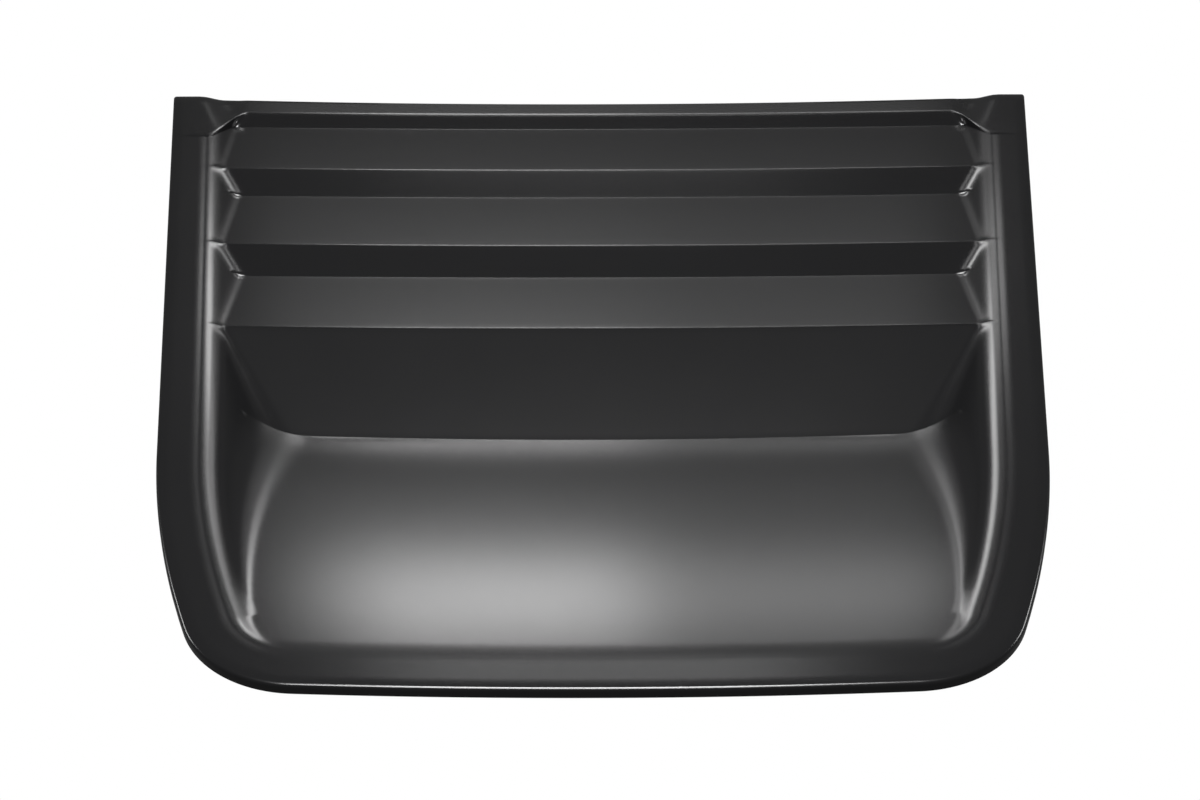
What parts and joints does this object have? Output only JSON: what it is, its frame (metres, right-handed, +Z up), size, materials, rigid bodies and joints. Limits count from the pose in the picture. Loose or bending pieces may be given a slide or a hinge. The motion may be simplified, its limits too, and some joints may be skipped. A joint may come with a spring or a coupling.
{
  "type": "louvred bonnet scoop panel",
  "caption": "Black bonnet scoop panel with a flat rim, stepped louvres across the rear half and a sloping pocket in front, held by tape and hidden studs.",
  "frame": {"origin": "on the plane of the rim's flat top, on the centre line, midway between the front edge and the rear edge", "axes": "+X to the vehicle's right when facing the rear edge, +Y towards the rear edge with the louvres, +Z up out of the bonnet"},
  "size_m": [0.677, 0.6875, 0.0434],
  "materials": {
    "satin_abs": "satin black moulded",
    "foam_tape": "closed-cell foam",
    "epdm": "extruded rubber",
    "zinc_steel": "bright zinc plate",
    "glass_nylon": "glass-filled, moulded"
  },
  "bodies": {
    "root": {"scoop_skin": "satin_abs", "foam_tape_left": "foam_tape", "foam_tape_right": "foam_tape", "foam_tape_front": "foam_tape", "rear_seal": "epdm", "stud_1": "zinc_steel", "stud_2": "zinc_steel", "stud_3": "zinc_steel", "stud_4": "zinc_steel", "stud_5": "zinc_steel", "stud_6": "zinc_steel", "stud_7": "zinc_steel", "stud_8": "zinc_steel", "washer_1": "zinc_steel", "washer_2": "zinc_steel", "washer_3": "zinc_steel", "washer_4": "zinc_steel", "washer_5": "zinc_steel", "washer_6": "zinc_steel", "washer_7": "zinc_steel", "washer_8": "zinc_steel", "nut_1": "zinc_steel", "nut_2": "zinc_steel", "nut_3": "zinc_steel", "nut_4": "zinc_steel", "nut_5": "zinc_steel", "nut_6": "zinc_steel", "nut_7": "zinc_steel", "nut_8": "zinc_steel", "step_brace_1": "glass_nylon", "step_brace_2": "glass_nylon", "step_brace_3": "glass_nylon", "floor_rail_left": "glass_nylon", "floor_rail_right": "glass_nylon"}
  },
  "joints": []
}
